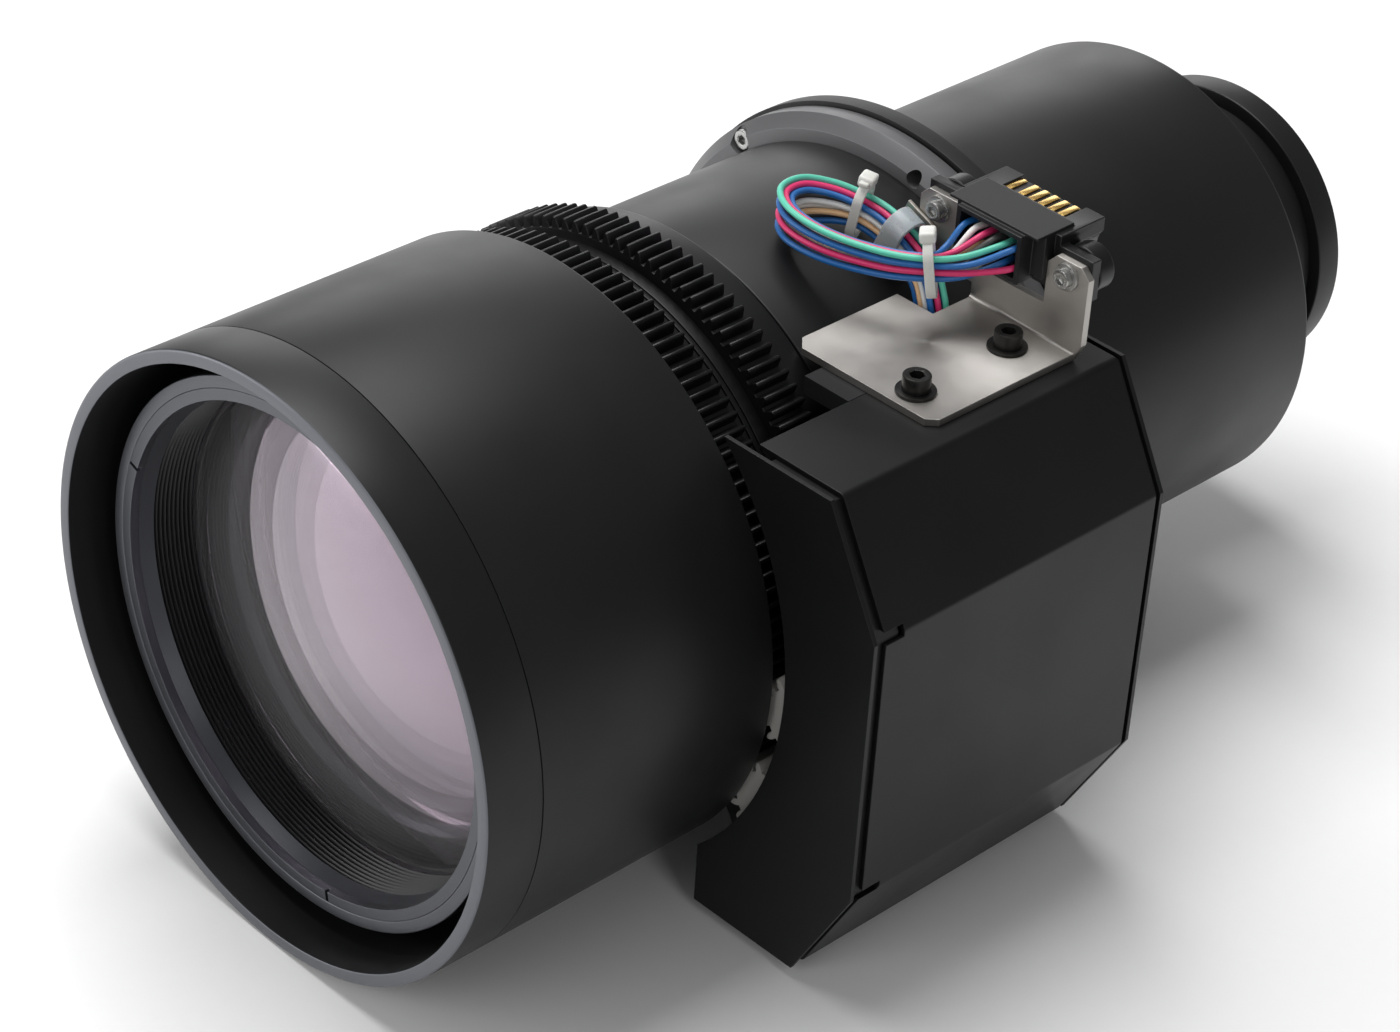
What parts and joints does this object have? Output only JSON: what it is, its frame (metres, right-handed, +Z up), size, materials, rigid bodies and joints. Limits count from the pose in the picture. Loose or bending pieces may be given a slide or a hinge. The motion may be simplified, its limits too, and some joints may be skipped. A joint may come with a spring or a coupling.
{
  "type": "projection lens",
  "caption": "Motorised projection zoom lens: hooded front group, toothed focus and zoom rings, drive box with pinions, mounting flange, rear tube, and a bracket with connector and looped leads.",
  "frame": {"origin": "on the optical axis, at the rear face of the flange, which seats on the lens carrier", "axes": "+Y along the optical axis towards the rear cell, the hood faces -Y, +Z up, the drive box on +X"},
  "size_m": [0.1905, 0.3487, 0.1697],
  "materials": {
    "hood_paint": "satin black paint",
    "cell_anodised": "blue-gray anodised",
    "baffle_black": "matt black",
    "coated_glass": "multicoated optical glass",
    "pin_brass": "turned",
    "ring_black": "moulded, matt",
    "pinion_white": "acetal",
    "barrel_black": "satin black anodised",
    "barrel_inner": "machined",
    "flange_gray": "dark gray anodised",
    "screw_steel": "zinc plated",
    "box_paint": "satin black powder coat",
    "black_steel": "black oxide",
    "chassis_metal": "dark anodised",
    "motor_metal": "nickel plated",
    "sensor_green": "circuit board and case",
    "stainless": "stainless sheet",
    "connector_black": "glass-filled nylon",
    "contact_gold": "gold plated",
    "lead_blue": "insulation",
    "lead_white": "insulation",
    "lead_pink": "insulation",
    "lead_gray": "insulation",
    "lead_green": "insulation",
    "lead_tan": "insulation",
    "tie_nylon": "natural nylon",
    "clip_gray": "translucent gray"
  },
  "bodies": {
    "fixed": {"main_barrel": "barrel_black", "ring_spacer": "ring_black", "focus_ring_retainer": "ring_black", "guide_barrel": "barrel_inner", "stop_ring": "baffle_black", "flange_front_ring": "flange_gray", "flange_seat_ring": "barrel_black", "flange_screws": "screw_steel", "rear_tube": "barrel_black", "relay_cell": "baffle_black", "relay_element": "coated_glass", "rear_cell": "barrel_black", "rear_element": "coated_glass", "rear_retaining_ring": "baffle_black", "box_wrapper": "box_paint", "front_cover_plate": "box_paint", "rear_cover_plate": "box_paint", "box_screws": "black_steel", "motor_chassis": "chassis_metal", "chassis_screws": "screw_steel", "focus_motor": "motor_metal", "zoom_motor": "motor_metal", "position_sensors": "sensor_green", "connector_bracket": "stainless", "bracket_screws": "black_steel", "connector_housing": "connector_black", "connector_contacts": "contact_gold", "float_bushes": "connector_black", "ear_screws": "screw_steel", "leads_blue": "lead_blue", "leads_white": "lead_white", "leads_pink": "lead_pink", "leads_gray": "lead_gray", "lead_teal": "lead_green", "lead_peach": "lead_tan", "cable_ties": "tie_nylon", "cable_clip": "clip_gray", "clip_foot": "screw_steel"},
    "focus_group": {"hood": "hood_paint", "hood_front_ring": "hood_paint", "front_cell": "cell_anodised", "front_retaining_ring": "cell_anodised", "front_baffle": "baffle_black", "front_element": "coated_glass", "second_element": "coated_glass", "focus_follower_pins": "pin_brass"},
    "focus_ring": {"focus_gear_ring": "ring_black"},
    "zoom_ring": {"zoom_gear_ring": "ring_black", "zoom_drive_pins": "pin_brass", "cam_barrel": "barrel_inner"},
    "variator": {"variator_carrier": "baffle_black", "variator_lens": "coated_glass", "variator_pins": "pin_brass"},
    "compensator": {"compensator_carrier": "baffle_black", "compensator_lens": "coated_glass", "compensator_pins": "pin_brass"},
    "focus_pinion": {"focus_pinion": "pinion_white"},
    "focus_sensor_gear": {"focus_sensor_gear": "pinion_white"},
    "zoom_pinion": {"zoom_pinion": "pinion_white"},
    "zoom_sensor_gear": {"zoom_sensor_gear": "pinion_white"}
  },
  "joints": [
    {"name": "focus_turn", "type": "hinge", "parent": "fixed", "child": "focus_ring", "pos_m": [0, -0.115, 0], "axis": [0, 1, 0], "range_deg": [0, 108]},
    {"name": "focus_slide", "type": "slide", "parent": "fixed", "child": "focus_group", "axis": [0, -1, 0], "range_m": [0, 0.009]},
    {"name": "zoom_turn", "type": "hinge", "parent": "fixed", "child": "zoom_ring", "pos_m": [0, -0.095, 0], "axis": [0, 1, 0], "range_deg": [0, 90]},
    {"name": "variator_slide", "type": "slide", "parent": "fixed", "child": "variator", "axis": [0, 1, 0], "range_m": [0, 0.024]},
    {"name": "compensator_slide", "type": "slide", "parent": "fixed", "child": "compensator", "axis": [0, -1, 0], "range_m": [0, 0.01]},
    {"name": "focus_pinion_spin", "type": "hinge", "parent": "fixed", "child": "focus_pinion", "pos_m": [0.08597, -0.115, -0.0086], "axis": [0, 1, 0], "range_deg": [-756, 0]},
    {"name": "focus_sensor_gear_spin", "type": "hinge", "parent": "fixed", "child": "focus_sensor_gear", "pos_m": [0.07784, -0.115, -0.03749], "axis": [0, 1, 0], "range_deg": [-756, 0]},
    {"name": "zoom_pinion_spin", "type": "hinge", "parent": "fixed", "child": "zoom_pinion", "pos_m": [0.08469, -0.095, 0.01712], "axis": [0, 1, 0], "range_deg": [-630, 0]},
    {"name": "zoom_sensor_gear_spin", "type": "hinge", "parent": "fixed", "child": "zoom_sensor_gear", "pos_m": [0.07372, -0.095, 0.04505], "axis": [0, 1, 0], "range_deg": [-630, 0]}
  ],
  "couplings": [
    {"joint": "focus_slide", "follows": "focus_turn", "m_per_rad": 0.0047746},
    {"joint": "focus_pinion_spin", "follows": "focus_turn", "ratio": -7},
    {"joint": "focus_sensor_gear_spin", "follows": "focus_turn", "ratio": -7},
    {"joint": "variator_slide", "follows": "zoom_turn", "m_per_rad": 0.015279},
    {"joint": "compensator_slide", "follows": "zoom_turn", "m_per_rad": 0.0063662},
    {"joint": "zoom_pinion_spin", "follows": "zoom_turn", "ratio": -7},
    {"joint": "zoom_sensor_gear_spin", "follows": "zoom_turn", "ratio": -7}
  ]
}
